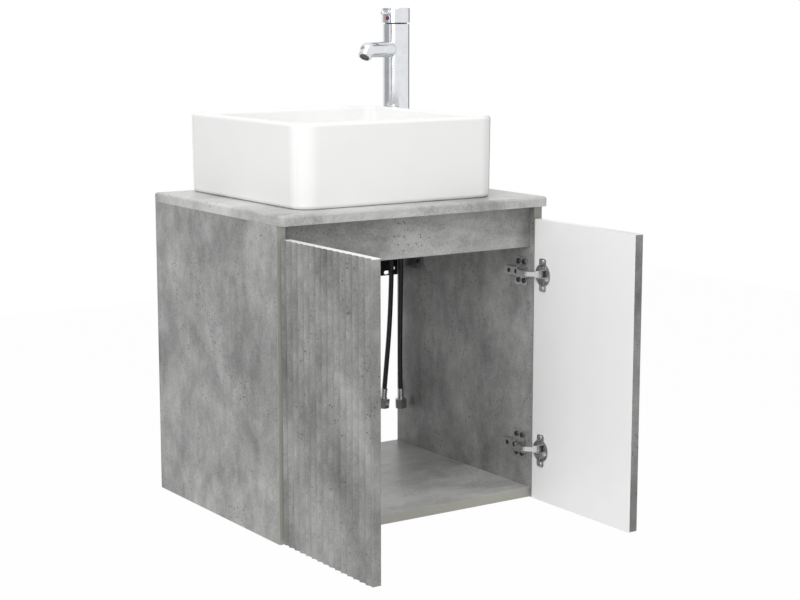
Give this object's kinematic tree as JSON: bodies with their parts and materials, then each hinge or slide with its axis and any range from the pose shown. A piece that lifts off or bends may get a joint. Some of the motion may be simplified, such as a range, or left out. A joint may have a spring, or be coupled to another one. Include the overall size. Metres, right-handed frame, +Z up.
{
  "type": "wall-hung bathroom vanity unit",
  "caption": "Wall-hung bathroom vanity: fluted hinged doors, countertop, square vessel basin and tall single-lever tap with hoses, on a wall rail.",
  "frame": {"origin": "on the wall face of the wall rail, in the middle of its screw line", "axes": "+Z up, +Y into the wall, +X to the right as seen from the front"},
  "size_m": [0.48, 0.6273, 0.7747],
  "materials": {
    "concrete_board": "board with a matt concrete-pattern laminate",
    "ceramic": "white gloss glaze",
    "waste_chrome": "polished chrome",
    "tap_chrome": "polished chrome on brass",
    "black_rubber": "matt",
    "black_plastic": "moulded",
    "aerator_plastic": "moulded grid",
    "white_plastic": "moulded",
    "brass": "turned",
    "red_plastic": "smooth",
    "blue_plastic": "smooth",
    "braided_hose": "dark braided sleeve over rubber",
    "hose_end_metal": "nickel plated",
    "black_steel": "black powder coat",
    "hanger_steel": "zinc plated",
    "hinge_steel": "nickel plated",
    "dark_screws": "dark zinc plated",
    "zinc_screws": "zinc plated"
  },
  "bodies": {
    "cabinet": {"aerator": "aerator_plastic", "basin": "ceramic", "bottom_panel": "concrete_board", "cartridge": "white_plastic", "countertop": "concrete_board", "fixing_nut": "brass", "fixing_stud": "brass", "fixing_washer": "black_rubber", "front_rail": "concrete_board", "hose_cold": "braided_hose", "hose_end_cold": "hose_end_metal", "hose_end_hot": "hose_end_metal", "hose_hot": "braided_hose", "left_hanger": "hanger_steel", "left_hanger_screws": "dark_screws", "left_lower_hinge_arm": "hinge_steel", "left_lower_hinge_pin": "hinge_steel", "left_lower_hinge_plate": "hinge_steel", "left_plate_screws": "dark_screws", "left_side_panel": "concrete_board", "left_upper_hinge_arm": "hinge_steel", "left_upper_hinge_pin": "hinge_steel", "left_upper_hinge_plate": "hinge_steel", "right_hanger": "hanger_steel", "right_hanger_screws": "dark_screws", "right_lower_hinge_arm": "hinge_steel", "right_lower_hinge_pin": "hinge_steel", "right_lower_hinge_plate": "hinge_steel", "right_plate_screws": "dark_screws", "right_side_panel": "concrete_board", "right_upper_hinge_arm": "hinge_steel", "right_upper_hinge_pin": "hinge_steel", "right_upper_hinge_plate": "hinge_steel", "spout": "tap_chrome", "tap_base": "black_plastic", "tap_body": "tap_chrome", "tap_gasket": "black_rubber", "wall_rail": "black_steel", "waste_body": "waste_chrome", "waste_gasket": "black_rubber", "waste_nut": "black_plastic"},
    "left_door": {"left_door": "concrete_board", "left_lower_hinge_cup": "hinge_steel", "left_upper_hinge_cup": "hinge_steel", "left_cup_screws": "zinc_screws"},
    "left_hinge_links": {"left_lower_hinge_link": "hinge_steel", "left_upper_hinge_link": "hinge_steel"},
    "right_door": {"right_door": "concrete_board", "right_lower_hinge_cup": "hinge_steel", "right_upper_hinge_cup": "hinge_steel", "right_cup_screws": "zinc_screws"},
    "right_hinge_links": {"right_lower_hinge_link": "hinge_steel", "right_upper_hinge_link": "hinge_steel"},
    "waste_plug": {"waste_plug": "waste_chrome"},
    "spindle": {"spindle": "brass"},
    "tap_head": {"tap_head": "tap_chrome", "lever": "tap_chrome", "indicator_hot": "red_plastic", "indicator_cold": "blue_plastic"}
  },
  "joints": [
    {"name": "left_door_swing", "type": "hinge", "parent": "cabinet", "child": "left_door", "pos_m": [-0.23155, -0.39725, 0], "axis": [0, 0, 1], "range_deg": [-15, 90]},
    {"name": "left_hinge_links_turn", "type": "hinge", "parent": "cabinet", "child": "left_hinge_links", "pos_m": [-0.206, -0.387, 0], "axis": [0, 0, 1], "range_deg": [-36, 6.2]},
    {"name": "right_door_swing", "type": "hinge", "parent": "cabinet", "child": "right_door", "pos_m": [0.23155, -0.39725, 0], "axis": [0, 0, -1], "range_deg": [-15, 90]},
    {"name": "right_hinge_links_turn", "type": "hinge", "parent": "cabinet", "child": "right_hinge_links", "pos_m": [0.206, -0.387, 0], "axis": [0, 0, -1], "range_deg": [-36, 6.2]},
    {"name": "waste_plug_lift", "type": "slide", "parent": "cabinet", "child": "waste_plug", "axis": [0, 0, 1], "range_m": [0, 0.007]},
    {"name": "tap_head_turn", "type": "hinge", "parent": "cabinet", "child": "spindle", "pos_m": [0.201, -0.032, 0.408], "axis": [0, 0, 1], "range_deg": [-45, 45]},
    {"name": "tap_head_tilt", "type": "hinge", "parent": "spindle", "child": "tap_head", "pos_m": [0.21544, -0.02511, 0.4135], "axis": [-0.4305, 0.9026, 0], "range_deg": [0, 17]}
  ],
  "couplings": [
    {"joint": "left_hinge_links_turn", "follows": "left_door_swing", "ratio": -0.39753},
    {"joint": "right_hinge_links_turn", "follows": "right_door_swing", "ratio": -0.39753}
  ]
}
